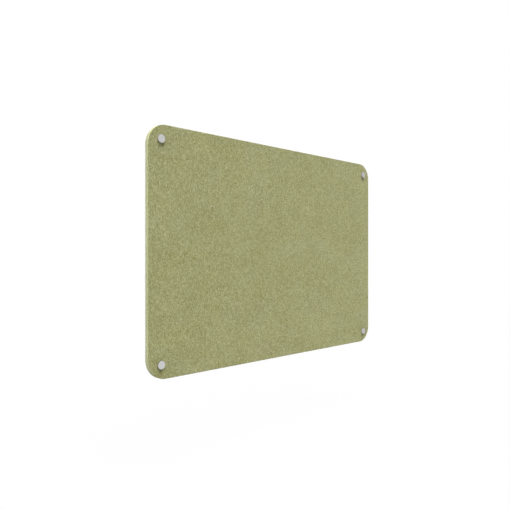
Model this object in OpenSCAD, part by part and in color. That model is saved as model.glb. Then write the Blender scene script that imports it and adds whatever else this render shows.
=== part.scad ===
// Wall mounted acoustic pinboard: one pressed felt panel with round corners, held clear of the wall by
// four screw-together standoffs. Lengths are in millimetres.
// The origin lies in the wall's plane, at the centre of the four fixings. +X is to the right as seen from
// the room, +Z is up, and the panel faces the room along -Y.

/* [Panel] */
// Width of the felt panel
panel_w = 900; // [400:10:1800]
// Height of the felt panel
panel_h = 600; // [300:10:1200]
// Thickness of the felt panel
panel_t = 12; // [9:1:24]
// Radius of the panel's four corners
panel_corner_r = 50; // [20:1:80]
// Rounding of the panel's cut edges
panel_edge_r = 0.6; // [0.2:0.1:2]
// Distance of each standoff's centre from the two nearest edges
fixing_inset = 35; // [30:1:60]
// How far each washer sinks into the felt
felt_crush = 0.4; // [0.2:0.1:0.8]
// Gap round the stud in the panel's hole
panel_hole_play = 0.55; // [0.3:0.05:1.5]
// Gap round the cap and the barrel in the pressed ring of felt
pressed_ring_play = 0.4; // [0.3:0.1:1]

/* [Cap] */
// Diameter of the cap
cap_d = 20; // [18:1:30]
// Thickness of the cap
cap_t = 4; // [4:0.5:8]
// Rounding of the cap's front rim
cap_rim_r = 0.8; // [0.3:0.1:1.5]
// Bevel of the cap's back edge
cap_back_bevel = 0.3; // [0.1:0.1:0.6]
// Metal left in front of the cap's blind hole
cap_face_t = 1.2; // [0.8:0.1:2]

/* [Stud] */
// Diameter over the crests of the stud's thread
stud_d = 9.9; // [7.9:0.1:10.9]
// Distance from one turn of the stud's thread to the next
stud_pitch = 1.5; // [1:0.25:2]
// Depth of the stud's thread
stud_thread_depth = 0.9; // [0.5:0.1:1]
// Length of stud that is screwed into the barrel
stud_engaged_l = 9; // [6:0.5:11]
// Gap between the stud's crests and the holes it is screwed into
stud_thread_play = 0.08; // [0.04:0.01:0.1]
// Width of the hexagonal socket in the stud's inner end
stud_socket_w = 5; // [3:0.5:5]
// Depth of the hexagonal socket
stud_socket_depth = 4; // [2:0.5:6]

/* [Washers] */
// Diameter of the front and rear washers
washer_d = 18; // [15:1:18]
// Thickness of each washer
washer_t = 1; // [0.5:0.1:2]
// Gap between the stud and each washer
washer_play = 0.25; // [0.2:0.05:0.5]

/* [Barrel] */
// Diameter of the barrel
barrel_d = 20; // [18:1:30]
// Length of the barrel, which is the distance it stands off the wall
barrel_l = 20; // [18:1:50]
// Bevel of the barrel's outer edges
barrel_bevel = 0.4; // [0.2:0.1:0.8]
// Bevel at the mouth of the barrel's threaded hole
barrel_mouth_bevel = 0.5; // [0.2:0.1:1]
// Thickness of the barrel's base
barrel_base_t = 5; // [4:0.5:6]
// Diameter of the shallow pocket in the barrel's base
barrel_pocket_d = 14; // [10:0.5:15]
// Depth of the shallow pocket in the barrel's base
barrel_pocket_depth = 0.8; // [0.6:0.1:1]
// Gap round the screw's shank in the barrel's base
barrel_screw_play = 0.25; // [0.1:0.05:0.5]

/* [Wall screw] */
// Diameter over the crests of the wall screw's thread
screw_d = 4; // [3.5:0.1:4]
// Length of the wall screw, with its head
screw_l = 35; // [33:1:60]
// Diameter of the wall screw's head
screw_head_d = 8; // [7:0.1:8]
// Height of the straight edge of the head
screw_head_edge = 0.3; // [0.2:0.1:0.5]
// Gap between the head and the seat in the barrel
screw_seat_play = 0.05; // [0.02:0.01:0.1]
// Distance from one turn of the wall screw's thread to the next
screw_pitch = 1.8; // [1.2:0.1:2]
// Depth of the wall screw's thread
screw_thread_depth = 0.6; // [0.4:0.1:0.8]
// Length of the wall screw's point
screw_point_l = 5; // [3:0.5:6]
// Width over the wings of the cross recess
screw_recess_w = 4.4; // [3:0.2:5]
// Thickness of each wing of the cross recess
screw_recess_slot = 0.9; // [0.6:0.1:1.2]
// Depth of the cross recess
screw_recess_depth = 1.8; // [1:0.1:2]

/* [Wall plug] */
// Diameter of the wall plug
plug_d = 6; // [6:0.5:8]
// Length of the wall plug
plug_l = 25; // [22:1:28]
// Length of the plain sleeve at the plug's mouth
plug_sleeve_l = 8; // [6:1:12]
// Diameter of the plug's lip
plug_lip_d = 8; // [8:0.5:9.5]
// Thickness of the plug's lip
plug_lip_t = 0.5; // [0.3:0.1:0.5]
// Gap between the screw's crests and the plug's hole
plug_screw_play = 0.05; // [0.03:0.01:0.1]
// Distance from one barb of the plug to the next
plug_barb_pitch = 2; // [1.5:0.1:3]
// Depth of the plug's barbs
plug_barb_depth = 0.35; // [0.2:0.05:0.5]
// Width of the slots that split the plug
plug_slot_w = 0.8; // [0.4:0.1:1.2]
// Length of the solid ring at the plug's end
plug_end_l = 2; // [1:0.5:4]

/* [Hidden] */
CORNERS = ["top_left", "top_right", "bottom_left", "bottom_right"];
PIECES = ["cap", "stud", "front_washer", "rear_washer", "barrel", "wall_screw", "wall_plug"];

$fn = 96;
// Extra length of a cutting shape past the face that it opens
overrun = 1;
hexagon_sides = 6;
// Share of a thread's pitch that is flat at each crest and at each root
thread_flat_share = 1 / 8;
// Share of its width to which the cross recess narrows at its floor
recess_floor_share = 0.45;
// Share of the thread's depth by which the screw's plain neck lies below the crests
neck_depth_share = 0.5;

// Radii that several pieces share
stud_r = stud_d / 2;
threaded_hole_r = stud_r + stud_thread_play;
washer_bore_r = stud_r + washer_play;
screw_r = screw_d / 2;
screw_hole_r = screw_r + barrel_screw_play;

// Distances from the wall's plane, along each standoff's axis
rear_washer_from = barrel_l;
front_of_rear_washer = rear_washer_from + washer_t;
panel_back = front_of_rear_washer - felt_crush;
panel_front = panel_back + panel_t;
front_washer_from = panel_front - felt_crush;
cap_back = front_washer_from + washer_t;
cap_hole_floor = cap_back + cap_t - cap_face_t;
stud_from = barrel_l - stud_engaged_l;
stud_l = cap_hole_floor - stud_from;

// Half the distances between the standoffs
fixing_x = panel_w / 2 - fixing_inset;
fixing_z = panel_h / 2 - fixing_inset;

function corner_x(corner) = (corner == "top_left" || corner == "bottom_left") ? -fixing_x : fixing_x;
function corner_z(corner) = (corner == "top_left" || corner == "top_right") ? fixing_z : -fixing_z;

// Half outline of a rod of length l with ring-shaped ridges, from the axis outwards
function ridged_outline(l, crest, root, pitch) =
    let (
        flat = pitch * thread_flat_share,
        count = floor(l / pitch),
        first = (l - count * pitch) / 2
    )
    concat(
        [[0, 0], [root, 0]],
        [for (i = [0 : count - 1])
            let (from = first + i * pitch)
            each [
                [root, from + flat / 2],
                [crest, from + (pitch - flat) / 2],
                [crest, from + (pitch + flat) / 2],
                [root, from + pitch - flat / 2]
            ]],
        [[root, l], [0, l]]
    );

// Half outline of a rod with barbs that rise slowly towards its start and drop sharply
function barbed_outline(l, crest, root, pitch) =
    let (count = floor(l / pitch), step = l / count)
    concat(
        [[0, 0]],
        [for (i = [0 : count - 1]) each [[crest, i * step], [root, (i + 1) * step]]],
        [[0, l]]
    );

// Places a standoff's piece, drawn upright on the wall's plane, at one of the four fixings
module at_fixing(corner) {
    translate([corner_x(corner), 0, corner_z(corner)]) rotate([90, 0, 0]) children();
}

// Flat shape of the panel cut through its thickness: a strip with rounded ends of radius panel_edge_r
module panel_section(w) {
    square([w - 2 * panel_edge_r, panel_t], center = true);
    square([w, panel_t - 2 * panel_edge_r], center = true);
    for (side_x = [-1, 1]) for (side_y = [-1, 1])
        translate([side_x * (w / 2 - panel_edge_r), side_y * (panel_t / 2 - panel_edge_r)])
            circle(r = panel_edge_r);
}

// One round corner of the panel, turned from half of its section
module panel_corner() {
    rotate_extrude() intersection() {
        panel_section(2 * panel_corner_r);
        translate([0, -panel_t]) square([panel_corner_r + overrun, 2 * panel_t]);
    }
}

// The uncut panel, lying with its middle plane on Y = 0 of its own frame
module panel_blank() {
    rotate([90, 0, 90]) linear_extrude(panel_w - 2 * panel_corner_r, center = true)
        rotate(90) panel_section(panel_h);
    linear_extrude(panel_h - 2 * panel_corner_r, center = true) panel_section(panel_w);
    for (side_x = [-1, 1]) for (side_z = [-1, 1])
        translate([side_x * (panel_w / 2 - panel_corner_r), 0, side_z * (panel_h / 2 - panel_corner_r)])
            rotate([90, 0, 0]) panel_corner();
}

// Felt panel with a hole for each stud and a pressed ring round it on both faces
module felt_panel() {
    color([0.62, 0.62, 0.45]) difference() {
        translate([0, -(panel_back + panel_front) / 2, 0]) panel_blank();
        for (corner = CORNERS) at_fixing(corner) {
            translate([0, 0, panel_back - overrun])
                cylinder(r = stud_r + panel_hole_play, h = panel_t + 2 * overrun);
            translate([0, 0, front_washer_from])
                cylinder(r = cap_d / 2 + pressed_ring_play, h = felt_crush + overrun);
            translate([0, 0, front_of_rear_washer - felt_crush - overrun])
                cylinder(r = barrel_d / 2 + pressed_ring_play, h = felt_crush + overrun);
        }
    }
}

// Turned metal cap with a rounded front rim and a blind threaded hole in its back
module cap() {
    body_r = cap_d / 2;
    color([0.78, 0.78, 0.77]) translate([0, 0, cap_back]) difference() {
        rotate_extrude() {
            polygon([
                [0, 0],
                [body_r - cap_back_bevel, 0],
                [body_r, cap_back_bevel],
                [body_r, cap_t - cap_rim_r],
                [body_r - cap_rim_r, cap_t - cap_rim_r],
                [body_r - cap_rim_r, cap_t],
                [0, cap_t]
            ]);
            translate([body_r - cap_rim_r, cap_t - cap_rim_r]) circle(r = cap_rim_r);
        }
        translate([0, 0, -overrun]) cylinder(r = threaded_hole_r, h = cap_t - cap_face_t + overrun);
    }
}

// Threaded stud, fixed in the cap, with a hexagonal socket in the end that enters the barrel
module stud() {
    socket_r = stud_socket_w / 2 / cos(180 / hexagon_sides);
    color([0.68, 0.69, 0.70]) translate([0, 0, stud_from]) difference() {
        rotate_extrude()
            polygon(ridged_outline(stud_l, stud_r, stud_r - stud_thread_depth, stud_pitch));
        translate([0, 0, -overrun])
            cylinder(r = socket_r, h = stud_socket_depth + overrun, $fn = hexagon_sides);
    }
}

// Flat ring round the stud
module washer_ring() {
    difference() {
        cylinder(d = washer_d, h = washer_t);
        translate([0, 0, -overrun]) cylinder(r = washer_bore_r, h = washer_t + 2 * overrun);
    }
}

// Washer between the cap and the felt
module front_washer() {
    color([0.93, 0.93, 0.91]) translate([0, 0, front_washer_from]) washer_ring();
}

// Washer between the felt and the barrel
module rear_washer() {
    color([0.93, 0.93, 0.91]) translate([0, 0, rear_washer_from]) washer_ring();
}

// Turned metal barrel: a threaded hole towards the room, and a base with a seat for the wall screw
module barrel() {
    body_r = barrel_d / 2;
    seat_r = screw_head_d / 2 + screw_seat_play;
    seat_edge = barrel_base_t - screw_head_edge;
    color([0.76, 0.76, 0.75]) difference() {
        rotate_extrude() polygon([
            [0, 0],
            [body_r - barrel_bevel, 0],
            [body_r, barrel_bevel],
            [body_r, barrel_l - barrel_bevel],
            [body_r - barrel_bevel, barrel_l],
            [0, barrel_l]
        ]);
        translate([0, 0, barrel_base_t])
            cylinder(r = threaded_hole_r, h = barrel_l - barrel_base_t + overrun);
        translate([0, 0, barrel_l - barrel_mouth_bevel])
            cylinder(r1 = threaded_hole_r, r2 = threaded_hole_r + barrel_mouth_bevel + overrun,
                h = barrel_mouth_bevel + overrun);
        translate([0, 0, seat_edge]) cylinder(r = seat_r, h = screw_head_edge + overrun);
        translate([0, 0, seat_edge - (seat_r - screw_hole_r)])
            cylinder(r1 = screw_hole_r, r2 = seat_r, h = seat_r - screw_hole_r);
        translate([0, 0, -overrun]) cylinder(r = screw_hole_r, h = barrel_base_t + overrun);
        translate([0, 0, -overrun]) cylinder(d = barrel_pocket_d, h = barrel_pocket_depth + overrun);
    }
}

// Countersunk wall screw, its head in the barrel's seat and its thread in the plug
module wall_screw() {
    head_r = screw_head_d / 2;
    root_r = screw_r - screw_thread_depth;
    neck_r = screw_r - screw_thread_depth * neck_depth_share;
    cone_h = head_r - screw_r;
    head_h = screw_head_edge + cone_h;
    neck_l = barrel_base_t - head_h;
    thread_l = screw_l - head_h - neck_l - screw_point_l;
    color([0.80, 0.80, 0.78]) {
        difference() {
            translate([0, 0, barrel_base_t - screw_l]) union() {
                cylinder(r1 = 0, r2 = root_r, h = screw_point_l);
                translate([0, 0, screw_point_l]) rotate_extrude()
                    polygon(ridged_outline(thread_l, screw_r, root_r, screw_pitch));
                translate([0, 0, screw_point_l + thread_l]) cylinder(r = neck_r, h = neck_l);
                translate([0, 0, screw_l - head_h]) cylinder(r1 = screw_r, r2 = head_r, h = cone_h);
                translate([0, 0, screw_l - screw_head_edge]) cylinder(r = head_r, h = screw_head_edge);
            }
            translate([0, 0, barrel_base_t - screw_recess_depth]) intersection() {
                cylinder(r1 = screw_recess_w / 2 * recess_floor_share, r2 = screw_recess_w / 2,
                    h = screw_recess_depth);
                for (turn = [0, 90]) rotate(turn)
                    translate([-screw_recess_w / 2, -screw_recess_slot / 2, 0])
                        cube([screw_recess_w, screw_recess_slot, screw_recess_depth]);
            }
        }
    }
}

// Split and barbed plug that spreads in the wall's hole round the screw
module wall_plug() {
    bore_r = screw_r + plug_screw_play;
    barbed_l = plug_l - plug_sleeve_l;
    slot_l = barbed_l - plug_end_l;
    color([0.72, 0.73, 0.74]) difference() {
        union() {
            cylinder(d = plug_lip_d, h = plug_lip_t);
            translate([0, 0, -plug_sleeve_l]) cylinder(d = plug_d, h = plug_sleeve_l);
            translate([0, 0, -plug_sleeve_l]) mirror([0, 0, 1]) rotate_extrude()
                polygon(barbed_outline(barbed_l, plug_d / 2, plug_d / 2 - plug_barb_depth, plug_barb_pitch));
        }
        translate([0, 0, -plug_l - overrun]) cylinder(r = bore_r, h = plug_l + plug_lip_t + 2 * overrun);
        for (turn = [0, 90]) rotate(turn)
            translate([-plug_d / 2 - overrun, -plug_slot_w / 2, -plug_sleeve_l - slot_l])
                cube([plug_d + 2 * overrun, plug_slot_w, slot_l]);
    }
}

felt_panel();
for (corner = CORNERS) at_fixing(corner) {
    cap();
    stud();
    front_washer();
    rear_washer();
    barrel();
    wall_screw();
    wall_plug();
}
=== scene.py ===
"""Looks of an acoustic pinboard: a felt panel with round corners on four screw-together standoffs.

Lengths are in metres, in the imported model's frame: +X to the right as seen from the room, +Y into the
wall, +Z up, with the origin at the centre of the four wall fixings.
"""

import logging
import math
from dataclasses import dataclass, field
from enum import Enum
from typing import Any, Optional, Union

import bmesh
import bpy
import numpy as np
from bpy.types import Material, Mesh, Node, NodeSocket, NodeTree, Object
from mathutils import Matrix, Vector


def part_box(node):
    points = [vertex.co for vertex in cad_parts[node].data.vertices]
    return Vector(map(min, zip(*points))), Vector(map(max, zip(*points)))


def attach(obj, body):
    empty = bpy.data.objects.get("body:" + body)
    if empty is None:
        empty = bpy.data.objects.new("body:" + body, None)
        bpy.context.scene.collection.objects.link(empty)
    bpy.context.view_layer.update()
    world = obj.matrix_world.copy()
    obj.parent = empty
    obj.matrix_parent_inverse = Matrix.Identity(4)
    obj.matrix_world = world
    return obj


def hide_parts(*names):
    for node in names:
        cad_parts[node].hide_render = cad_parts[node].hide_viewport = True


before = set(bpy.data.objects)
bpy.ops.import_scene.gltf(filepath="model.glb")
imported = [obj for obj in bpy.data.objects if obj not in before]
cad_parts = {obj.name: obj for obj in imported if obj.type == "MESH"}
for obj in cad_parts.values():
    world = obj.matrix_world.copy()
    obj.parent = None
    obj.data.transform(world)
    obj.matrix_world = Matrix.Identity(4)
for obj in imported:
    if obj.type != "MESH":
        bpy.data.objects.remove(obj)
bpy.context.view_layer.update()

MM = 0.001
TINY = 1e-6
LOG = logging.getLogger("pinboard")

Number = Union[float, "Value"]
Colour = tuple[float, float, float]
Size = tuple[float, float, float]
Settings = Optional[dict[str, Any]]
Inputs = Optional[dict[Union[int, str], Any]]


class Corner(Enum):
    """A corner of the board as seen from the room, with its side along X and along Z."""

    TOP_LEFT = (-1, 1)
    TOP_RIGHT = (1, 1)
    BOTTOM_LEFT = (-1, -1)
    BOTTOM_RIGHT = (1, -1)

    @property
    def label(self) -> str:
        """The corner's name as the nodes and bodies write it."""
        return self.name.lower()

    def mirrored(self, flat: np.ndarray, level: np.ndarray) -> np.ndarray:
        """Carry points of the top right quarter into this corner's.

        Args:
            flat: Rows by columns by X and Z.
            level: Places along Y, rows by columns or rows by one.

        Returns:
            Rows by columns by X, Y and Z.
        """
        side_x, side_z = self.value
        level = np.broadcast_to(level, flat.shape[:2])
        return np.stack([flat[..., 0] * side_x, level, flat[..., 1] * side_z], axis=-1)


def srgb(red: float, green: float, blue: float) -> Colour:
    """Turn a colour as a screen shows it into the linear one that a shader takes.

    Each channel c of 255 becomes ((c / 255 + 0.055) / 1.055) to the power 2.4.

    Args:
        red: Red, from 0 to 255.
        green: Green, from 0 to 255.
        blue: Blue, from 0 to 255.

    Returns:
        The linear colour.
    """
    channels = (np.array([red, green, blue]) / 255 + 0.055) / 1.055
    return tuple(float(c) for c in channels**2.4)


def smoothstep(low: float, high: float, x: np.ndarray) -> np.ndarray:
    """Rise from 0 at low to 1 at high along the cubic 3 t^2 - 2 t^3.

    Args:
        low: Where the rise starts.
        high: Where it ends.
        x: The places to work it out at.

    Returns:
        The heights, in the shape of x.
    """
    t = np.clip((x - low) / (high - low), 0, 1)
    return t * t * (3 - 2 * t)


# Meshes


def fillet(corners: np.ndarray, radii: np.ndarray, steps: int = 6) -> np.ndarray:
    """Round the inner corners of an open outline with arcs.

    At a corner P whose sides leave along the unit vectors u and v, half the angle between them is f. The
    arc's centre is P + r / sin f along the bisector, and it runs from P + u r / tan f to P + v r / tan f.

    Args:
        corners: The outline's points, one row each. The first and last stay as they are.
        radii: One radius for each inner point.
        steps: Segments in each arc.

    Returns:
        The rounded outline's points.
    """
    point = corners[1:-1]
    back, ahead = corners[:-2] - point, corners[2:] - point
    u = back / np.linalg.norm(back, axis=1, keepdims=True)
    v = ahead / np.linalg.norm(ahead, axis=1, keepdims=True)
    half = np.arccos(np.clip((u * v).sum(1), -1, 1)) / 2
    reach = radii / np.tan(half)
    bisector = (u + v) / np.linalg.norm(u + v, axis=1, keepdims=True)
    centre = point + bisector * (radii / np.sin(half))[:, None]
    start, stop = point + u * reach[:, None] - centre, point + v * reach[:, None] - centre
    sweep = (np.pi - 2 * half)[:, None, None]
    s = np.linspace(0, 1, steps + 1)[None, :, None]
    arcs = (np.sin((1 - s) * sweep) * start[:, None] + np.sin(s * sweep) * stop[:, None]) / np.sin(sweep)
    arcs += centre[:, None]
    return np.concatenate([corners[:1], arcs.reshape(-1, 2), corners[-1:]])


def refine(outline: np.ndarray, step: float) -> np.ndarray:
    """Add points to an outline so that none of its segments is much longer than step.

    The outline is walked by its arc length s. Points are put at its own s, and at every whole step that is
    more than half a step away from these.

    Args:
        outline: The outline's points, one row each.
        step: The distance from one added point to the next.

    Returns:
        The outline with more points.
    """
    s = np.concatenate([[0], np.cumsum(np.linalg.norm(np.diff(outline, axis=0), axis=1))])
    extra = np.arange(1, int(s[-1] / step)) * step
    nearest = np.abs(extra[:, None] - s[None, :]).min(axis=1)
    places = np.sort(np.concatenate([s, extra[nearest > step / 2]]))
    return np.stack([np.interp(places, s, outline[:, k]) for k in (0, 1)], axis=1)


class Skin:
    """A closed mesh that grows grid by grid, and is welded where its grids meet."""

    def __init__(self, name: str) -> None:
        """Start an empty skin.

        Args:
            name: The piece's name.
        """
        self.name = name
        self._points: list[np.ndarray] = []
        self._faces: list[np.ndarray] = []
        self._marks: list[dict[str, np.ndarray]] = []
        self._count = 0

    def add(self, grid: np.ndarray, round_rows: bool = True, **marks: np.ndarray) -> "Skin":
        """Add a grid of points, with a square between each four neighbours.

        Args:
            grid: Rows by columns by three coordinates.
            round_rows: Whether each row closes on itself.
            **marks: Attributes by name, rows by columns, or rows by columns by three.

        Returns:
            This skin.
        """
        rows, columns = grid.shape[:2]
        index = np.arange(rows * columns).reshape(rows, columns) + self._count
        if round_rows:
            index = np.concatenate([index, index[:, :1]], axis=1)
        corners = (index[:-1, :-1], index[:-1, 1:], index[1:, 1:], index[1:, :-1])
        self._faces.append(np.stack(corners, axis=-1).reshape(-1, 4))
        self._points.append(grid.reshape(-1, 3))
        self._marks.append({k: v.reshape(rows * columns, -1) for k, v in marks.items()})
        self._count += rows * columns
        return self

    def build(self, crease: float = 35, weld: float = 0.002 * MM) -> Object:
        """Make the welded object, with its faces turned outwards and its hard edges kept.

        Args:
            crease: The angle in degrees past which an edge is left hard.
            weld: The distance under which points become one.

        Returns:
            The object, linked to the scene.
        """
        mesh = bpy.data.meshes.new(self.name)
        mesh.from_pydata(np.concatenate(self._points).tolist(), [], np.concatenate(self._faces).tolist())
        for mark in sorted({k for marks in self._marks for k in marks}):
            self._store(mesh, mark)
        shape = bmesh.new()
        shape.from_mesh(mesh)
        bmesh.ops.remove_doubles(shape, verts=shape.verts, dist=weld)
        bmesh.ops.recalc_face_normals(shape, faces=shape.faces)
        shape.to_mesh(mesh)
        shape.free()
        mesh.polygons.foreach_set("use_smooth", np.ones(len(mesh.polygons), bool))
        mesh.set_sharp_from_angle(angle=math.radians(crease))
        piece = bpy.data.objects.new(self.name, mesh)
        bpy.context.scene.collection.objects.link(piece)
        return piece

    def _store(self, mesh: Mesh, mark: str) -> None:
        """Write one attribute to the mesh, with zeros on the grids that lack it.

        Args:
            mesh: The unwelded mesh.
            mark: The attribute's name.
        """
        width = max(m[mark].shape[1] for m in self._marks if mark in m)
        parts = [m.get(mark, np.zeros((len(p), width))) for m, p in zip(self._marks, self._points)]
        kind, slot = ("FLOAT_VECTOR", "vector") if width == 3 else ("FLOAT", "value")
        layer = mesh.attributes.new(mark, kind, "POINT")
        layer.data.foreach_set(slot, np.concatenate(parts).astype(np.float32).ravel())


def dress(piece: Object, material: Material) -> None:
    """Give a piece or a CAD node one material in place of those it has."""
    piece.data.materials.clear()
    piece.data.materials.append(material)


# Shader maths


class Value:
    """A number that varies over a surface, on which Python's operators add Math nodes."""

    def __init__(self, tree: "Tree", socket: NodeSocket) -> None:
        """Wrap an output socket of a tree."""
        self.tree = tree
        self.socket = socket

    def _math(self, operation: str, *terms: Number) -> "Value":
        """Add one Math node that works on these terms."""
        return self.tree.value("ShaderNodeMath", {"operation": operation}, dict(enumerate(terms)))

    def __add__(self, other: Number) -> "Value":
        """Sum."""
        return self._math("ADD", self, other)

    def __sub__(self, other: Number) -> "Value":
        """Difference."""
        return self._math("SUBTRACT", self, other)

    def __rsub__(self, other: Number) -> "Value":
        """Difference, the other way round."""
        return self._math("SUBTRACT", other, self)

    def __mul__(self, other: Number) -> "Value":
        """Product."""
        return self._math("MULTIPLY", self, other)

    __radd__ = __add__
    __rmul__ = __mul__

    def __abs__(self) -> "Value":
        """Size without its sign."""
        return self._math("ABSOLUTE", self)

    def at_least(self, other: Number) -> "Value":
        """The greater of the two."""
        return self._math("MAXIMUM", self, other)

    def step(self, low: float, high: float) -> "Value":
        """Rise smoothly from 0 at low to 1 at high."""
        inputs = {"Value": self, "From Min": low, "From Max": high}
        return self.tree.value("ShaderNodeMapRange", {"interpolation_type": "SMOOTHSTEP"}, inputs)


class Tree:
    """A node tree, with one method for every kind of node."""

    def __init__(self, tree: NodeTree) -> None:
        """Take over a tree and empty it."""
        self.tree = tree
        tree.nodes.clear()

    def node(self, kind: str, settings: Settings = None, inputs: Inputs = None) -> Node:
        """Add a node, set it up, and then fill or link its sockets.

        Args:
            kind: The node's type.
            settings: Its own properties.
            inputs: Sockets by name or number, each with a number, a tuple, a socket or a Value.

        Returns:
            The node.
        """
        node = self.tree.nodes.new(kind)
        for name, setting in (settings or {}).items():
            setattr(node, name, setting)
        for name, given in (inputs or {}).items():
            if isinstance(given, Value):
                given = given.socket
            if isinstance(given, NodeSocket):
                self.tree.links.new(given, node.inputs[name])
            else:
                node.inputs[name].default_value = given
        return node

    def value(self, kind: str, settings: Settings = None, inputs: Inputs = None,
              output: Union[int, str] = 0) -> Value:
        """Add a node and wrap one of its outputs as a Value."""
        return Value(self, self.node(kind, settings, inputs).outputs[output])

    def mix(self, factor: Number, first: Any, second: Any, blend: str = "MIX") -> NodeSocket:
        """Blend two colours.

        A Mix node that is set to colours takes them in sockets 6 and 7, and gives them in output 2.

        Args:
            factor: How much of the second shows.
            first: The colour at 0, as three numbers or a socket.
            second: The colour at 1.
            blend: How they are blended.

        Returns:
            The blended colour's socket.
        """
        ends = [(*c, 1.0) if isinstance(c, tuple) else c for c in (first, second)]
        settings = {"data_type": "RGBA", "blend_type": blend, "clamp_factor": True}
        return self.node("ShaderNodeMix", settings, {0: factor, 6: ends[0], 7: ends[1]}).outputs[2]

    def place(self) -> NodeSocket:
        """The point's own place in the part's frame, in metres."""
        return self.node("ShaderNodeTexCoord").outputs["Object"]

    def mark(self, name: str, output: str = "Fac") -> NodeSocket:
        """An attribute that the piece's mesh carries."""
        return self.node("ShaderNodeAttribute", {"attribute_name": name}).outputs[output]

    def noise(self, vector: NodeSocket, size: float = 1.0, detail: float = 2.0,
              rough: float = 0.5) -> Value:
        """Cloudy noise round a half, with features of this size in the vector's unit."""
        inputs = {"Vector": vector, "Scale": 1 / size, "Detail": detail, "Roughness": rough}
        return self.value("ShaderNodeTexNoise", None, inputs)

    def stretched(self, vector: NodeSocket, size: Size, **inputs: Any) -> NodeSocket:
        """Measure a vector in these sizes along its axes, after a move and a turn."""
        inputs = {"Vector": vector, "Scale": size, **inputs}
        return self.node("ShaderNodeMapping", {"vector_type": "TEXTURE"}, inputs).outputs[0]

    def vector(self, operation: str, inputs: Inputs) -> NodeSocket:
        """Work on vectors."""
        return self.node("ShaderNodeVectorMath", {"operation": operation}, inputs).outputs[0]

    def shader(self, settings: dict[str, Any]) -> NodeSocket:
        """Add a principled surface with these sockets."""
        return self.node("ShaderNodeBsdfPrincipled", None, settings).outputs["BSDF"]

    def bump(self, height: Value, distance: float) -> NodeSocket:
        """A normal that leans with a height from 0 to 1, which stands for distance metres."""
        inputs = {"Height": height, "Distance": distance, "Strength": 1.0}
        return self.node("ShaderNodeBump", None, inputs).outputs["Normal"]


def new_material(name: str) -> tuple[Material, Tree]:
    """Make an empty material.

    Args:
        name: The finish's name.

    Returns:
        The material and its tree.
    """
    material = bpy.data.materials.new(name)
    material.use_nodes = True
    return material, Tree(material.node_tree)


def surface_output(tree: Tree, shader: NodeSocket) -> None:
    """Join a shader to the material's surface."""
    tree.node("ShaderNodeOutputMaterial", None, {"Surface": shader})


@dataclass(frozen=True)
class Strand:
    """One family of felt fibres that run roughly the same way."""

    angle: float
    """Angle to the board's width, in degrees."""
    length: float
    """How far a fibre runs straight."""
    width: float
    """How far it is across."""
    seed: float
    """Shift of its pattern, so that no two families match."""


@dataclass(frozen=True)
class Fibres:
    """Light and dark families of strands that are alike in fineness."""

    light: tuple[Strand, ...]
    dark: tuple[Strand, ...]
    edge: float
    """Where a family's strength starts to show."""
    show: float
    """How far the fibres cover what is under them."""
    cut_fade: float = 0.0
    """How much of them is lost on the cut edge."""
    rise: float = 0.0
    """How far light ones stand up and dark ones lie low, as a share of the relief."""
    parted: bool = False
    """Whether light and dark ones keep to blotches of their own."""


@dataclass(frozen=True)
class Blotch:
    """Soft blotches in the felt, with their sizes along X, Y and Z."""

    size: Size
    weight: float = 1.0
    """How far they shift the felt from deep to pale."""

    def noise(self, tree: Tree, place: NodeSocket) -> Value:
        """Their noise round a half."""
        return tree.noise(tree.stretched(place, self.size))

    def tone(self, tree: Tree, place: NodeSocket) -> Value:
        """Their weighted noise round nothing."""
        return (self.noise(tree, place) - 0.5) * self.weight


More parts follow.
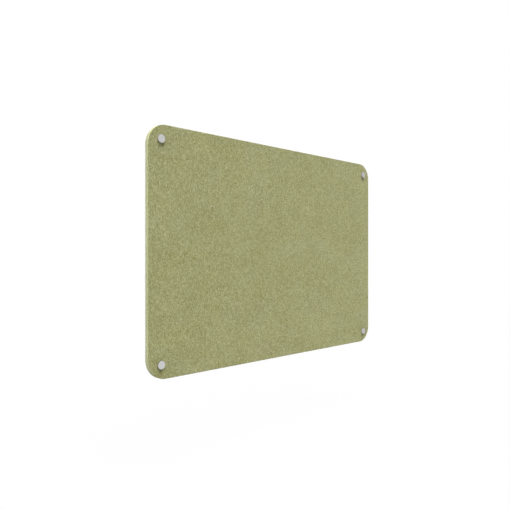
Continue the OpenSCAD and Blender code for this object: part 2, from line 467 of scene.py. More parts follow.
@dataclass(frozen=True)
class Felt:
    """Pressed polyester felt: matted fibres of one green in darker and lighter shades."""

    name: str = "pressed_felt"
    deep: Colour = srgb(102, 104, 30)
    pale: Colour = srgb(185, 186, 141)
    light: Colour = srgb(208, 207, 166)
    dark: Colour = srgb(111, 112, 44)
    # Cut edge colour: partly the cut fibres' own paler colour, partly painted light and painted sheen that
    # stand in for the light and sheen the edge catches.
    cut: Colour = srgb(180, 188, 160)
    cut_and_sheen_show: float = 0.8
    warm: Colour = (0.996, 1.0, 0.956)
    cool: Colour = (1.004, 1.0, 1.044)
    strands: Fibres = Fibres(
        light=(Strand(76, 16 * MM, 1.8 * MM, 0.0), Strand(112, 15 * MM, 1.9 * MM, 3.1),
               Strand(38, 13 * MM, 1.7 * MM, 6.7)),
        dark=(Strand(94, 10 * MM, 1.8 * MM, 9.2), Strand(62, 9 * MM, 2.1 * MM, 12.9),
              Strand(138, 8 * MM, 1.9 * MM, 15.8)),
        edge=0.86, show=0.9, cut_fade=0.5, rise=0.28)
    curls: Fibres = Fibres(
        light=(Strand(76, 13 * MM, 4.3 * MM, 41.3), Strand(116, 15 * MM, 4.6 * MM, 44.9)),
        dark=(Strand(99, 13 * MM, 4.3 * MM, 47.2), Strand(63, 15 * MM, 4.6 * MM, 51.6)),
        edge=0.86, show=0.46, cut_fade=0.5, parted=True)
    hairs: Fibres = Fibres(
        light=(Strand(84, 9 * MM, 0.42 * MM, 21.3), Strand(33, 8 * MM, 0.38 * MM, 24.9),
               Strand(130, 8 * MM, 0.40 * MM, 27.4)),
        dark=(Strand(104, 9 * MM, 0.45 * MM, 31.8), Strand(57, 8 * MM, 0.42 * MM, 34.2),
              Strand(8, 8 * MM, 0.40 * MM, 37.7)),
        edge=0.90, show=0.5, rise=0.14)
    thickness: float = 2.5
    """How deep a strand goes into the felt, in its widths."""
    bend: float = 12 * MM
    bend_size: float = 32 * MM
    cloud: Blotch = Blotch((70 * MM, 70 * MM, 70 * MM), 2.0)
    patch: Blotch = Blotch((11 * MM, 11 * MM, 19 * MM), 2.6)
    clump: Blotch = Blotch((3.2 * MM, 3.2 * MM, 5 * MM), 1.5)
    layer: Blotch = Blotch((9 * MM, 0.8 * MM, 9 * MM), 0.8)
    fine_size: float = 0.9 * MM
    fine_weight: float = 1.3
    fine_rise: float = 0.3
    parting: Blotch = Blotch((4 * MM, 4 * MM, 5 * MM))
    parting_edges: tuple[float, float] = (0.44, 0.56)
    tint: Blotch = Blotch((60 * MM, 60 * MM, 50 * MM))
    tint_edges: tuple[float, float] = (0.3, 0.7)
    relief: float = 0.35 * MM

    def material(self) -> Material:
        """Mat strands, curls and finer hairs into a ground that varies from deep to pale.

        The ground's share of pale is a half plus four noises of different sizes. The cut edge is paler, in
        layers, partly as the cut fibres' own colour and partly as painted light and painted sheen. Each kind
        of fibre lies over what is there, its light ones first, and a slow tint goes over it all.

        Returns:
            The material.
        """
        material, tree = new_material(self.name)
        place = tree.place()
        bent = self._bent(tree, place)
        cut = Value(tree, tree.mark("cut"))
        fine = tree.noise(bent, self.fine_size, detail=3.0, rough=0.6) - 0.5
        share = (0.5 + fine * self.fine_weight + self.clump.tone(tree, bent) + self.patch.tone(tree, place)
                 + self.cloud.tone(tree, place) + cut * self.layer.tone(tree, place))
        colour = tree.mix(share, self.deep, self.pale)
        # Painted light and painted sheen: the cut edge takes the paler, bluer cut colour, partly its own and
        # partly standing in for the light and sheen it catches.
        colour = tree.mix(cut * self.cut_and_sheen_show, colour, self.cut)
        height = 0.5 + fine * self.fine_rise
        side = self.parting.noise(tree, place).step(*self.parting_edges)
        for fibres in (self.strands, self.curls, self.hairs):
            light, dark = (self._matted(tree, bent, f, fibres.edge) for f in (fibres.light, fibres.dark))
            if fibres.parted:
                light, dark = light * side, dark * (1 - side)
            shown = (1 - cut * fibres.cut_fade) * fibres.show
            colour = tree.mix(light * shown, colour, self.light)
            colour = tree.mix(dark * shown, colour, self.dark)
            height = height + (light - dark) * fibres.rise
        tint = tree.mix(self.tint.noise(tree, place).step(*self.tint_edges), self.warm, self.cool)
        colour = tree.mix(1.0, colour, tint, "MULTIPLY")
        surface_output(tree, tree.shader({
            "Base Color": colour, "Roughness": 0.93, "Specular IOR Level": 0.25,
            "Sheen Weight": 0.08, "Sheen Roughness": 0.5, "Normal": tree.bump(height, self.relief)}))
        return material

    def _bent(self, tree: Tree, place: NodeSocket) -> NodeSocket:
        """Shift each point by a slow noise for each axis, by no more than the bend each way.

        Args:
            tree: The tree to work in.
            place: The points' places.

        Returns:
            The shifted places.
        """
        inputs = {"Vector": place, "Scale": 1 / self.bend_size, "Detail": 1.0}
        noise = tree.node("ShaderNodeTexNoise", None, inputs).outputs["Color"]
        centred = tree.vector("SUBTRACT", {0: noise, 1: (0.5, 0.5, 0.5)})
        return tree.vector("ADD", {0: place, 1: tree.vector("SCALE", {0: centred, "Scale": 2 * self.bend})})

    def _matted(self, tree: Tree, place: NodeSocket, family: tuple[Strand, ...],
                edge: float) -> Value:
        """Mat some families of strands together: at each point the strongest shows.

        A family's noise n is turned by its angle and stretched along its strands. A strand shows where n is
        close to a half, so its strength is a smooth step of 1 - |2 n - 1| from the edge to 1.

        Args:
            tree: The tree to work in.
            place: The bent places.
            family: The families of strands.
            edge: Where they start to show.

        Returns:
            The strength, from 0 to 1.
        """
        total: Optional[Value] = None
        for strand in family:
            size = (strand.length, self.thickness * strand.width, strand.width)
            turned = tree.stretched(place, size, Location=(strand.seed, strand.seed, strand.seed),
                                    Rotation=(0, -math.radians(strand.angle), 0))
            noise = tree.noise(turned, detail=1.0, rough=0.4)
            shown = (1 - abs(2 * noise - 1)).step(edge, 1.0)
            total = shown if total is None else total.at_least(shown)
        return total


@dataclass(frozen=True)
class TurnedMetal:
    """Metal turned on a lathe and brushed to a satin: fine rings that vary in roughness and in tone."""

    name: str = "satin_metal"
    colour: Colour = srgb(214, 214, 214)
    dull: float = 0.86
    """The rings' tone as a share of the colour."""
    roughness: float = 0.34
    ring_size: float = 0.12 * MM
    ring_arc: float = 2.0
    """How far a ring runs round before it changes, in radii."""
    ring_edges: tuple[float, float] = (0.35, 0.7)
    ring_rough: float = 0.12
    smudge_size: float = 6 * MM
    smudge_rough: float = 0.10
    relief: float = 0.004 * MM

    def material(self) -> Material:
        """Draw the rings along the piece's own marks of turning.

        The mark "turned" holds the cosine and sine of the angle and the way along the profile. A noise that
        is long round the axis and short along the profile gives the rings.

        Returns:
            The material.
        """
        material, tree = new_material(self.name)
        scale = (1 / self.ring_arc, 1 / self.ring_arc, 1 / self.ring_size)
        inputs = {"Vector": tree.mark("turned", "Vector"), "Scale": scale}
        rings = tree.noise(tree.node("ShaderNodeMapping", None, inputs).outputs[0], rough=0.6)
        smudge = tree.noise(tree.place(), self.smudge_size)
        dull = tuple(c * self.dull for c in self.colour)
        colour = tree.mix(rings.step(*self.ring_edges), self.colour, dull)
        rough = self.roughness + (rings - 0.5) * self.ring_rough + (smudge - 0.5) * self.smudge_rough
        surface_output(tree, tree.shader({
            "Base Color": colour, "Metallic": 1.0, "Roughness": rough,
            "Normal": tree.bump(rings, self.relief)}))
        return material


@dataclass(frozen=True)
class ZincPlate:
    """Bright zinc plating, a little mottled and bluish, as on studs and screws."""

    name: str = "zinc_plate"
    colour: Colour = srgb(186, 190, 194)
    warm: Colour = srgb(196, 192, 178)
    roughness: float = 0.22
    mottle_size: float = 2.5 * MM
    mottle_edges: tuple[float, float] = (0.4, 0.7)
    mottle_rough: float = 0.2
    grain_size: float = 0.15 * MM
    relief: float = 0.003 * MM

    def material(self) -> Material:
        """Mottle two greys and their roughness with a noise of a few millimetres.

        Returns:
            The material.
        """
        material, tree = new_material(self.name)
        mottle = tree.noise(tree.place(), self.mottle_size, detail=3.0, rough=0.6)
        grain = tree.noise(tree.place(), self.grain_size)
        colour = tree.mix(mottle.step(*self.mottle_edges), self.colour, self.warm)
        surface_output(tree, tree.shader({
            "Base Color": colour, "Metallic": 1.0, "Roughness": self.roughness + mottle * self.mottle_rough,
            "Normal": tree.bump(grain, self.relief)}))
        return material


@dataclass(frozen=True)
class Nylon:
    """Moulded nylon with a fine grain, into which light sinks a little."""

    name: str
    colour: Colour
    shade: Colour
    scatter: float
    """The share of light that sinks in."""
    scatter_depth: float = 0.6 * MM
    cloud_size: float = 4 * MM
    roughness: float = 0.38
    grain_size: float = 0.25 * MM
    grain_rough: float = 0.2
    relief: float = 0.01 * MM

    def material(self) -> Material:
        """Cloud two tones and add a fine moulded grain.

        Returns:
            The material.
        """
        material, tree = new_material(self.name)
        cloud = tree.noise(tree.place(), self.cloud_size)
        grain = tree.noise(tree.place(), self.grain_size)
        surface_output(tree, tree.shader({
            "Base Color": tree.mix(cloud, self.colour, self.shade),
            "Roughness": self.roughness + grain * self.grain_rough,
            "Subsurface Weight": self.scatter, "Subsurface Scale": self.scatter_depth,
            "Normal": tree.bump(grain, self.relief)}))
        return material


# The felt panel


@dataclass
class FeltPanel:
    """The felt panel, built as four alike quarters, each a web of rings round its standoff's hole."""

    felt: Felt
    node: str = "felt_panel"
    body: str = "board"
    corner_r: float = 50 * MM
    edge_r: float = 0.6 * MM
    edge_rows: tuple[int, int] = (6, 7)
    """Rows on the edge's rounding and across its flat."""
    hole_r: float = 5.5 * MM
    hole_rows: int = 8
    crush: float = 0.4 * MM
    pressed_r: float = 9.4 * MM
    slope_r: float = 17 * MM
    collar_r: float = 26 * MM
    web_rows: tuple[int, int, int, int] = (4, 9, 4, 27)
    """Rings out to the pressed radius, the slope's, the collar's and the outline, each with both ends."""
    web_power: float = 1.15
    """How much closer the outer rings lie near the collar."""
    swell: float = 0.12 * MM
    waves: tuple[tuple[float, float, float], ...] = ((31, 17, 0.4), (-19, 37, 2.1), (47, -23, 4.4))
    """The swell's waves, each with its radians a metre along X and Z, and its phase."""
    swell_rim: float = 50 * MM
    """How far in from the rim the swell is whole."""
    swell_hole: tuple[float, float] = (20 * MM, 70 * MM)
    """How far from a hole's axis the swell starts and is whole."""
    spacing: float = 15 * MM
    turn: float = math.radians(5)
    samples: int = 1500
    half_w: float = field(init=False)
    half_h: float = field(init=False)
    front: float = field(init=False)
    back: float = field(init=False)
    hole: np.ndarray = field(init=False)

    def __post_init__(self) -> None:
        """Read the panel's size and the hole's place from the frame."""
        low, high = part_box(self.node)
        self.half_w, self.half_h, self.front, self.back = high.x, high.z, low.y, high.y
        cap_low, cap_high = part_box(f"cap_{Corner.TOP_RIGHT.label}")
        self.hole = np.array([(cap_low.x + cap_high.x) / 2, (cap_low.z + cap_high.z) / 2])

    def build(self) -> Object:
        """Make the panel, dress it and set it in the frame.

        Returns:
            The panel's object.
        """
        skin = Skin("felt_sheet")
        rim, loop = self._outline()
        web = self._web(loop)
        for corner in Corner:
            self._face(skin, corner, web, self.front, 1)
            self._face(skin, corner, web, self.back, -1)
            self._edge(skin, corner, rim)
            self._hole_wall(skin, corner, web[0])
        piece = skin.build(crease=60)
        dress(piece, self.felt.material())
        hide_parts(self.node)
        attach(piece, self.body)
        return piece

    def _spread(self, curve: np.ndarray) -> np.ndarray:
        """Pick points along a curve so that none is far from the next, by length or seen from the hole.

        Each bit of the curve weighs its length over the spacing plus the angle it takes, seen from the
        hole, over the turn. The points stand at equal steps of the summed weight.

        Args:
            curve: Many close points, one row each.

        Returns:
            Fewer points, from the curve's first on, without its last.
        """
        angle = np.unwrap(np.arctan2(*(curve - self.hole).T[::-1]))
        length = np.linalg.norm(np.diff(curve, axis=0), axis=1)
        weight = length / self.spacing + np.abs(np.diff(angle)) / self.turn
        total = np.concatenate([[0], np.cumsum(weight)])
        steps = np.linspace(0, total[-1], math.ceil(total[-1]) + 1)[:-1]
        return np.stack([np.interp(steps, total, curve[:, k]) for k in (0, 1)], axis=1)

    def _outline(self) -> tuple[np.ndarray, np.ndarray]:
        """The outline of the top right quarter, inside the rounded edge.

        It runs up the right side, round the corner's arc and along the top to the panel's middle. From
        there it goes down to the centre and back to the right, where the quarter meets its neighbours.

        Returns:
            Points in X and Z: of the rim, which is the first three curves with their last point, and of
            the whole loop.
        """
        t = np.linspace(0, 1, self.samples)[:, None]
        x, z, r = self.half_w - self.edge_r, self.half_h - self.edge_r, self.corner_r - self.edge_r
        quarter = t * np.pi / 2
        right = np.hstack([np.full_like(t, x), t * (z - r)])
        arc = np.array([x - r, z - r]) + r * np.hstack([np.cos(quarter), np.sin(quarter)])
        top = np.hstack([(1 - t) * (x - r), np.full_like(t, z)])
        down, across = np.hstack([0 * t, (1 - t) * z]), np.hstack([t * x, 0 * t])
        curves = [self._spread(curve) for curve in (right, arc, top, down, across)]
        return np.concatenate(curves[:3] + [top[-1:]]), np.concatenate(curves)

    def _web(self, loop: np.ndarray) -> np.ndarray:
        """The web of the top right quarter: circles round the hole, then rings that spread to the loop.

        A ring's point lies on the ray from the hole's centre to the loop's point, at a set radius out to
        the collar, and from there at a share of the way that is left.

        Args:
            loop: The quarter's whole outline.

        Returns:
            Rings by points by X and Z, from the hole outwards.
        """
        away = loop - self.hole
        distance = np.linalg.norm(away, axis=1, keepdims=True)
        ray = away / distance
        pressed, slope, collar, outer = self.web_rows
        radii = np.concatenate([
            np.linspace(self.hole_r, self.pressed_r, pressed),
            np.linspace(self.pressed_r, self.slope_r, slope)[1:],
            np.linspace(self.slope_r, self.collar_r, collar)[1:],
        ])
        shares = np.linspace(0, 1, outer)[1:] ** self.web_power
        inner = self.hole + ray[None] * radii[:, None, None]
        reach = self.collar_r + (distance - self.collar_r)[None] * shares[:, None, None]
        return np.concatenate([inner, self.hole + ray[None] * reach])

    def _relief(self, x: np.ndarray, z: np.ndarray) -> np.ndarray:
        """How far the sheet swells towards the room: three slow waves that die out at rim and standoffs.

        Args:
            x: Places along X.
            z: Places along Z.

        Returns:
            The swell in metres.
        """
        waves = sum(np.sin(a * x + b * z + c) for a, b, c in self.waves) / len(self.waves)
        rim = np.minimum(self.half_w - np.abs(x), self.half_h - np.abs(z))
        hole = np.hypot(np.abs(x) - self.hole[0], np.abs(z) - self.hole[1])
        return self.swell * waves * smoothstep(0, self.swell_rim, rim) * smoothstep(*self.swell_hole, hole)

    def _face(self, skin: Skin, corner: Corner, web: np.ndarray, level: float, inwards: int) -> None:
        """Add one quarter of the front or the back.

        The face lies at its level, and is pressed in by the crush under each washer. Outside the washer
        the dent rises to nothing along a smooth step.

        Args:
            skin: The skin that grows.
            corner: Which quarter.
            web: The quarter's rings.
            level: The face's place along Y.
            inwards: 1 where the felt lies towards +Y, and -1 where it lies towards -Y.
        """
        radius = np.linalg.norm(web - self.hole, axis=-1)
        dent = self.crush * (1 - smoothstep(self.pressed_r, self.slope_r, radius))
        grid = corner.mirrored(web, level + inwards * dent)
        grid[..., 1] -= self._relief(grid[..., 0], grid[..., 2])
        skin.add(grid, cut=np.zeros_like(radius))

    def _edge(self, skin: Skin, corner: Corner, rim: np.ndarray) -> None:
        """Add the cut edge of one quarter: the rim carried along a rounded, flat and rounded profile.

        The profile stands off the rim by e sin a and off the face by e (1 - cos a) for a from 0 to a
        quarter turn, and mirrors that at the back. It leaves the rim at right angles, away from the
        nearest point of the rectangle that the corners' centres span.

        Args:
            skin: The skin that grows.
            corner: Which quarter.
            rim: The rim's points.
        """
        core = np.array([self.half_w - self.corner_r, self.half_h - self.corner_r])
        away = rim - np.minimum(rim, core)
        away /= np.linalg.norm(away, axis=1, keepdims=True)
        rounded, flat = self.edge_rows
        a = np.linspace(0, np.pi / 2, rounded)
        out, level = self.edge_r * np.sin(a), self.front + self.edge_r * (1 - np.cos(a))
        middle = np.linspace(self.front + self.edge_r, self.back - self.edge_r, flat)[1:-1]
        out = np.concatenate([out, np.full_like(middle, self.edge_r), out[::-1]])[:, None]
        level = np.concatenate([level, middle, self.front + self.back - level[::-1]])[:, None]
        grid = corner.mirrored(rim[None] + away[None] * out[..., None], level)
        skin.add(grid, round_rows=False, cut=np.broadcast_to(out / self.edge_r, grid.shape[:2]))

    def _hole_wall(self, skin: Skin, corner: Corner, ring: np.ndarray) -> None:
        """Add the wall of one standoff's hole, a tube between the two pressed faces.

        Args:
            skin: The skin that grows.
            corner: Which quarter.
            ring: The web's first ring.
        """
        level = np.linspace(self.front + self.crush, self.back - self.crush, self.hole_rows)[:, None]
        grid = corner.mirrored(np.broadcast_to(ring, (len(level), *ring.shape)), level)
        cut = np.ones(grid.shape[:2])
        cut[0], cut[-1] = 0, 0
        skin.add(grid, cut=cut)


# The standoffs


@dataclass(frozen=True)
class Axis:
    """The axis of one standoff, which leaves the wall at right angles."""

    x: float
    z: float

    @classmethod
    def at(cls, corner: Corner) -> "Axis":
        """Read the axis of one corner's standoff from the frame."""
        low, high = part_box(f"barrel_{corner.label}")
        return cls((low.x + high.x) / 2, (low.z + high.z) / 2)

    def points(self, radius: np.ndarray, height: np.ndarray, angle: np.ndarray) -> np.ndarray:
        """Place points by their distance from the axis, their distance from the wall and their angle.

        X is the axis's plus radius times cosine, Z the axis's plus radius times sine, and Y is minus the
        height.

        Args:
            radius: Distances from the axis, rows by columns or rows by one.
            height: Distances from the wall's plane, one for each row.
            angle: Angles round the axis, one for each column.

        Returns:
            Rows by columns by three coordinates.
        """
        radius, height, angle = np.broadcast_arrays(radius, np.asarray(height)[:, None], angle)
        return np.stack([self.x + radius * np.cos(angle), -height, self.z + radius * np.sin(angle)], axis=-1)


@dataclass
class Standoff:
    """One standoff: cap, stud, two washers, barrel, wall screw and wall plug on one axis."""

    corner: Corner
    metal: Material
    zinc: Material
    clear_nylon: Material
    grey_nylon: Material
    columns: int = 96
    facet: float = 0.75 * MM
    """How far apart the rows of a turned piece lie."""
    hub_r: float = 1.5 * MM
    """The radius inside which the marks of turning run together."""
    thread_rows: int = 14
    thread_flat: float = 0.125
    """The share of a thread's triangle that is cut off its tip, and as much off its foot."""
    thread_play: float = 0.08 * MM
    cap_edge: float = 0.08 * MM
    cap_rim_r: float = 0.8 * MM
    cap_back_bevel: float = 0.3 * MM
    stud_columns: int = 72
    stud_pitch: float = 1.5 * MM
    stud_depth: float = 0.9 * MM
    stud_bevel: float = 0.4 * MM
    socket_w: float = 5 * MM
    socket_depth: float = 4 * MM
    socket_mouth: tuple[float, float] = (1.06, 0.15 * MM)
    """How much wider the socket is at its mouth, and how deep that goes."""
    socket_draft: float = 0.999
    socket_tip: float = 0.9 * MM
    washer_bore_r: float = 5.2 * MM
    washer_edge: float = 0.25 * MM
    barrel_edge: float = 0.05 * MM
    barrel_bevel: float = 0.4 * MM
    barrel_start: float = 2.25 * MM
    """Where the barrel's outline starts and ends, on the wall of the screw's hole."""
    mouth_bevel: float = 0.5 * MM
    base_t: float = 5 * MM
    seat_play: float = 0.05 * MM
    pocket_r: float = 7 * MM
    pocket_depth: float = 0.8 * MM
    screw_hole_r: float = 2.25 * MM
    screw_columns: int = 64
    screw_r: float = 2 * MM
    screw_head_edge: float = 0.3 * MM
    screw_pitch: float = 1.8 * MM
    screw_depth: float = 0.6 * MM
    screw_point: float = 5 * MM
    point_power: float = 0.6
    """How the thread grows over the point, next to 1 for the core."""
    shank_end: float = -0.5 * MM
    thread_fade: float = 1.5 * MM
    neck_rise: float = 0.4 * MM
    neck_gap: float = 0.3 * MM
    recess_w: float = 4.4 * MM
    recess_slot: float = 0.9 * MM
    recess_depth: float = 1.8 * MM
    recess_mouth: tuple[float, float] = (1.05, 0.1 * MM)
    """How much wider the recess is at its mouth, and how deep that goes."""
    recess_floor: float = 0.55
    recess_tip: float = 0.2 * MM
    axis: Axis = field(init=False)

    def __post_init__(self) -> None:
        """Read the axis from the frame."""
        self.axis = Axis.at(self.corner)

    def build(self) -> list[Object]:
        """Make every piece of the standoff, dress it and set it in the frame.

        Returns:
            The pieces' objects.
        """
        label = self.corner.label
        made = [
            self._set(self._cap(), "cap", f"cap_{label}", self.metal),
            self._set(self._stud(), "stud", f"cap_{label}", self.zinc),
            self._set(self._washer("front_washer"), "front_washer", f"front_washer_{label}",
                      self.clear_nylon),
            self._set(self._washer("rear_washer"), "rear_washer", "board", self.clear_nylon),
            self._set(self._barrel(), "barrel", "board", self.metal),
            self._set(self._wall_screw(), "wall_screw", "board", self.zinc),
        ]
        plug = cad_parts[f"wall_plug_{label}"]
        dress(plug, self.grey_nylon)
        return made + [plug]

    def _set(self, piece: Object, part: str, body: str, finish: Material) -> Object:
        """Dress a piece, let it stand for its CAD node and ride on its body.

        Args:
            piece: The new piece.
            part: The CAD node's name without its corner.
            body: The body that carries it.
            finish: Its material.

        Returns:
            The piece.
        """
        dress(piece, finish)
        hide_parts(f"{part}_{self.corner.label}")
        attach(piece, body)
        return piece

    def _span(self, part: str) -> tuple[float, float, float]:
        """A part's least and greatest distance from the wall, and its radius, read from the frame."""
        low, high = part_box(f"{part}_{self.corner.label}")
        return -high.y, -low.y, (high.x - low.x) / 2

    def _turned(self, name: str, outline: list[tuple[float, float]], radii: list[float]) -> Object:
        """Turn an outline round the axis, and leave the marks of turning on it.

        The mark "turned" holds cosine and sine of the angle, and the way along the profile. Inside the hub
        cosine and sine shrink with the radius, so that the marks meet on the axis.

        Args:
            name: The piece's name.
            outline: Corners of the outline, as distances from the axis and from the wall. It starts and
                ends on the axis or on itself.
            radii: The rounding at each inner corner.

        Returns:
            The piece's object.
        """
        radius, height = refine(fillet(np.array(outline), np.array(radii)), self.facet).T
        angle = np.linspace(0, 2 * np.pi, self.columns, endpoint=False)
        way = np.concatenate([[0], np.cumsum(np.hypot(np.diff(radius), np.diff(height)))])
        way = np.broadcast_to(way[:, None], (len(way), len(angle)))
        reach = np.minimum(radius / self.hub_r, 1)[:, None]
        marks = np.stack([reach * np.cos(angle), reach * np.sin(angle), way], axis=-1)
        grid = self.axis.points(radius[:, None], height, angle)
        return Skin(f"{name}_{self.corner.label}").add(grid, turned=marks).build()

    def _cap(self) -> Object:
        """The cap: a disc with a rounded front rim, and a blind hole that just holds the stud.

        Returns:
            The cap's object.
        """
        back, front, r = self._span("cap")
        _, hole_floor, stud_r = self._span("stud")
        hole_r, bevel = stud_r + self.thread_play, self.cap_back_bevel
        outline = [(0, hole_floor), (hole_r, hole_floor), (hole_r, back), (r - bevel, back),
                   (r, back + bevel), (r, front), (0, front)]
        return self._turned("turned_cap", outline, [self.cap_edge] * 4 + [self.cap_rim_r])

    def _washer(self, part: str) -> Object:
        """A flat ring with softly rounded edges.

        Args:
            part: The washer's node without its corner.

        Returns:
            The washer's object.
        """
        low, high, r = self._span(part)
        bore, middle = self.washer_bore_r, (low + high) / 2
        outline = [(bore, middle), (bore, low), (r, low), (r, high), (bore, high), (bore, middle)]
        return self._turned(f"nylon_{part}", outline, [self.washer_edge] * 4)

    def _barrel(self) -> Object:
        """The barrel: a tube with bevelled ends, a threaded hole, a screw seat and a pocket at the wall.

        Returns:
            The barrel's object.
        """
        low, high, r = self._span("barrel")
        hole_r = self._span("stud")[2] + self.thread_play
        seat_r = self._span("wall_screw")[2] + self.seat_play
        base, pocket = low + self.base_t, low + self.pocket_depth
        seat = base - self.screw_head_edge
        bevel, mouth, narrow = self.barrel_bevel, self.mouth_bevel, self.screw_hole_r
        outline = [
            (narrow, low + self.barrel_start), (narrow, pocket), (self.pocket_r, pocket),
            (self.pocket_r, low), (r - bevel, low), (r, low + bevel), (r, high - bevel), (r - bevel, high),
            (hole_r + mouth, high), (hole_r, high - mouth), (hole_r, base), (seat_r, base), (seat_r, seat),
            (narrow, seat - seat_r + narrow), (narrow, low + self.barrel_start),
        ]
        return self._turned("turned_barrel", outline, [self.barrel_edge] * 13)

    def _thread(self, low: float, high: float, angle: np.ndarray,
                pitch: float) -> tuple[np.ndarray, np.ndarray]:
        """The rise of a right-handed thread, from 0 at its root to 1 at its crest.

        The phase is height over pitch minus the turn, less its whole part. The rise is a triangle of the
        phase, cut off alike below its tip and above its foot.

        Args:
            low: Where the thread starts, as a distance from the wall.
            high: Where it ends.
            angle: Angles, one for each column.
            pitch: Distance from one turn to the next.

        Returns:
            The rows' distances from the wall, and the rise in rows by columns.
        """
        height = np.linspace(low, high, int((high - low) / pitch * self.thread_rows))
        phase = (height[:, None] / pitch - angle[None] / (2 * np.pi)) % 1
        rise = (1 - np.abs(2 * phase - 1) - self.thread_flat) / (1 - 2 * self.thread_flat)
        return height, np.clip(rise, 0, 1)

    def _stud(self) -> Object:
        """The stud: a threaded rod with bevelled ends and a hexagonal socket in its inner end.

        Its radius is the root's plus the thread's rise, and near an end no more than the end face's radius
        plus the way to that end. The socket's radius at an angle is half its width over the cosine of the
        angle from the middle of the nearest flat.

        Returns:
            The stud's object.
        """
        low, high, crest = self._span("stud")
        root = crest - self.stud_depth
        angle = np.linspace(0, 2 * np.pi, self.stud_columns, endpoint=False)
        face = np.full_like(angle, root - self.stud_bevel)
        height, rise = self._thread(low, high, angle, self.stud_pitch)
        to_end = np.minimum(height - low, high - height)[:, None]
        radius = np.minimum(root + self.stud_depth * rise, face + to_end)
        sixth = np.pi / 3
        hexagon = self.socket_w / 2 / np.cos(angle % sixth - sixth / 2)
        floor, (wider, mouth) = low + self.socket_depth, self.socket_mouth
        socket = np.stack([face, hexagon * wider, hexagon, hexagon * self.socket_draft, 0 * angle])
        level = [low, low, low + mouth, floor, floor + self.socket_tip]
        skin = Skin(f"threaded_stud_{self.corner.label}")
        skin.add(self.axis.points(radius, height, angle))
        skin.add(self.axis.points(socket, level, angle))
        skin.add(self.axis.points(np.stack([face, 0 * angle]), [high, high], angle))
        return skin.build(crease=30)

    def _wall_screw(self) -> Object:
        """The wall screw: a point, a thread, a plain neck and a countersunk head with a cross recess.

        Along the shank the radius is the core's plus the thread's rise. The core grows evenly over the
        point. The recess's radius at an angle, seen from the middle of the nearest wing, is the lesser of
        half the recess's width over the cosine and half the slot over the sine.

        Returns:
            The screw's object.
        """
        low, high, head_r = self._span("wall_screw")
        root, shank = self.screw_r - self.screw_depth, self.shank_end
        quarter = np.pi / 2
        wing = np.arctan2(self.recess_slot, self.recess_w)
        special = np.arange(4)[:, None] * quarter + np.array([-wing, wing, quarter / 2])
        even = np.linspace(0, 2 * np.pi, self.screw_columns, endpoint=False)
        angle = np.unique(np.round(np.concatenate([even, special.ravel() % (2 * np.pi)]), 6))
        height, rise = self._thread(low, shank, angle, self.screw_pitch)
        taper = np.clip((height - low) / self.screw_point, 0, 1)[:, None]
        fade = smoothstep(0, self.thread_fade, shank - height)[:, None]
        radius = root * taper + self.screw_depth * rise * fade * taper**self.point_power
        near = (angle + quarter / 2) % quarter - quarter / 2
        cross = np.minimum(self.recess_w / 2 / np.cos(near),
                           self.recess_slot / 2 / np.maximum(np.abs(np.sin(near)), TINY))
        edge, floor, (wider, mouth) = high - self.screw_head_edge, high - self.recess_depth, self.recess_mouth
        cone, neck = edge - (head_r - self.screw_r), root + self.screw_depth / 2
        plain = [np.full_like(angle, r) for r in (root, neck, neck, self.screw_r, head_r, head_r)]
        head = np.stack(plain + [cross * wider, cross, cross * self.recess_floor, 0 * angle])
        level = [shank, shank + self.neck_rise, cone - self.neck_gap, cone, edge, high, high, high - mouth,
                 floor, floor - self.recess_tip]
        skin = Skin(f"wall_screw_{self.corner.label}_threaded")
        skin.add(self.axis.points(radius, height, angle))
        skin.add(self.axis.points(head, level, angle))
        return skin.build(crease=30)


# The studio


@dataclass(frozen=True)
class Viewpoint:
    """The photograph's camera: level, turned to look at the board's face from its left."""

    picture: int = 510
    focal_px: float = 553.6
    sensor: float = 36.0
    turn: float = math.radians(45)
    distance: float = 1590.9 * MM
    aside: float = 72.4 * MM
    above: float = 7.4 * MM

    def build(self) -> None:
        """Make the camera.

        The middle of the board's face lies the distance ahead, the aside to the right and the above over
        the camera's axis, so the camera's place is that middle less those three steps.
        """
        low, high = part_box("felt_panel")
        middle = Vector(((low.x + high.x) / 2, low.y, (low.z + high.z) / 2))
        ahead = Vector((math.sin(self.turn), math.cos(self.turn), 0))
        right = Vector((ahead.y, -ahead.x, 0))
        data = bpy.data.cameras.new("camera")
        data.sensor_fit, data.sensor_width = "HORIZONTAL", self.sensor
        data.lens = self.focal_px / self.picture * self.sensor
        camera = bpy.data.objects.new("camera", data)
        camera.location = middle - ahead * self.distance - right * self.aside - Vector((0, 0, self.above))
        camera.rotation_euler = (math.pi / 2, 0, -self.turn)
        bpy.context.scene.collection.objects.link(camera)
        bpy.context.scene.camera = camera


@dataclass(frozen=True)
class SoftLamp:
    """A broad far lamp: even light from one side, with soft shadows."""

    name: str
    towards: tuple[float, float, float]
    """The direction from the object to the lamp."""
    strength: float
    spread: float
    """The lamp's width in degrees, as the object sees it."""

    def build(self) -> None:
        """Make the lamp, which metal doesn't mirror."""
        data = bpy.data.lights.new(self.name, "SUN")
        data.energy, data.angle = self.strength, math.radians(self.spread)
        lamp = bpy.data.objects.new(self.name, data)
        lamp.visible_glossy = False
        lamp.rotation_mode = "QUATERNION"
        lamp.rotation_quaternion = Vector(self.towards).to_track_quat("Z", "Y")
        bpy.context.scene.collection.objects.link(lamp)


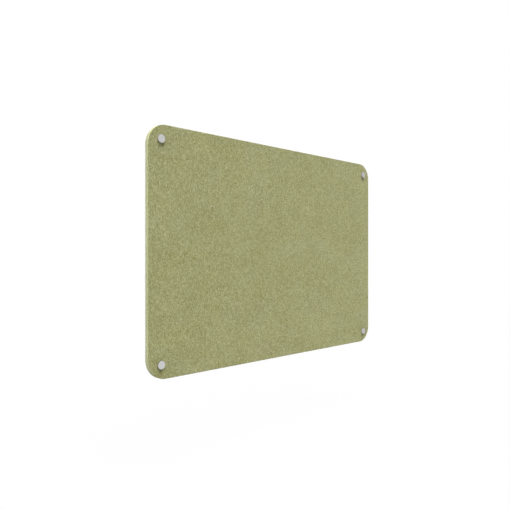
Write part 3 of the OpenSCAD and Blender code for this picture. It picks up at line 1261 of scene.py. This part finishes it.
@dataclass(frozen=True)
class Studio:
    """A pale floor under a white surround, lit softly from above and from the left."""

    ambient: float = 0.13
    """The light that the surround gives, next to 1 where it is seen."""
    lamps: tuple[SoftLamp, ...] = (
        SoftLamp("overhead_lamp", (-0.02, -0.32, 0.947), 5.6, 44),
        SoftLamp("left_lamp", (-0.99, -0.08, 0.04), 4.2, 90),
        SoftLamp("fill_lamp", (0.60, 0.75, 0.28), 2.4, 90),
    )
    floor_drop: float = 210 * MM
    floor_r: float = 6.0
    floor_rings: int = 12
    floor_columns: int = 96
    floor_grain: float = 0.01
    floor_grain_size: float = 25 * MM
    floor_white: float = 0.18
    floor_show: float = 0.95
    floor_glow: float = 1.03
    fade: tuple[float, float] = (0.45, 1.0)
    fade_depth: float = 0.4

    def build(self) -> None:
        """Set the surround, the lamps, the floor and the plain view of colours."""
        bpy.context.scene.view_settings.view_transform = "Standard"
        self._surround()
        for lamp in self.lamps:
            lamp.build()
        self._floor()

    def _seen(self, tree: Tree, way: NodeSocket) -> Value:
        """How white the surround shows, against 0 for the light that it gives.

        It is 1 for the camera and through glass. In metal it is 1 too, but fades towards the right: there it
        is 1 less the depth of the fade times a smooth step of the unit way's X.

        Args:
            tree: The tree to work in.
            way: The way to the point that is seen.

        Returns:
            The whiteness.
        """
        rightwards = tree.value("ShaderNodeSeparateXYZ", None, {0: tree.vector("NORMALIZE", {0: way})}, "X")
        path = tree.node("ShaderNodeLightPath")
        camera, metal, glass = (Value(tree, path.outputs[f"Is {ray} Ray"])
                                for ray in ("Camera", "Glossy", "Transmission"))
        return camera.at_least(glass).at_least(metal * (1 - rightwards.step(*self.fade) * self.fade_depth))

    def _surround(self) -> None:
        """White where it is seen, and dimmer where it lights."""
        world = bpy.data.worlds.new("surround")
        world.use_nodes = True
        bpy.context.scene.world = world
        tree = Tree(world.node_tree)
        way = tree.node("ShaderNodeTexCoord").outputs["Generated"]
        strength = self.ambient + self._seen(tree, way) * (1 - self.ambient)
        light = tree.node("ShaderNodeBackground", None, {"Color": (1, 1, 1, 1), "Strength": strength})
        tree.node("ShaderNodeOutputWorld", None, {"Surface": light.outputs[0]})

    def _floor(self) -> None:
        """A round floor below the board that shows nearly white and keeps a faint shadow."""
        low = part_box("felt_panel")[0].z - self.floor_drop
        angle = np.linspace(0, 2 * np.pi, self.floor_columns, endpoint=False)
        radius = np.linspace(0, self.floor_r, self.floor_rings + 1)[:, None]
        x, y = radius * np.cos(angle), radius * np.sin(angle)
        floor = Skin("floor").add(np.stack([x, y, np.full_like(x, low)], axis=-1)).build()
        material, tree = new_material("floor_white")
        grain = tree.noise(tree.place(), self.floor_grain_size)
        tone = self.floor_white + (grain - 0.5) * self.floor_grain
        colour = tree.node("ShaderNodeCombineColor", None, {0: tone, 1: tone, 2: tone}).outputs[0]
        matt = tree.shader({"Base Color": colour, "Roughness": 0.9, "Specular IOR Level": 0.0})
        white = tree.node("ShaderNodeEmission", None, {"Color": (1, 1, 1, 1), "Strength": self.floor_glow})
        ends = {0: self._seen(tree, tree.place()) * self.floor_show, 1: matt, 2: white.outputs[0]}
        surface_output(tree, tree.node("ShaderNodeMixShader", None, ends).outputs[0])
        dress(floor, material)


def main() -> None:
    """Build the studio, the panel and the four standoffs, and report each piece."""
    logging.basicConfig(level=logging.INFO, format="%(name)s: %(message)s")
    Viewpoint().build()
    Studio().build()
    pieces = [FeltPanel(Felt()).build()]
    metal, zinc = TurnedMetal().material(), ZincPlate().material()
    clear = Nylon("natural_nylon", srgb(236, 236, 228), srgb(222, 222, 210), 0.25).material()
    grey = Nylon("grey_nylon", srgb(176, 178, 181), srgb(163, 166, 170), 0.05).material()
    for corner in Corner:
        pieces += Standoff(corner, metal, zinc, clear, grey).build()
    for piece in pieces:
        LOG.info("%s: %d faces", piece.name, len(piece.data.polygons))


if __name__ == "__main__":
    main()
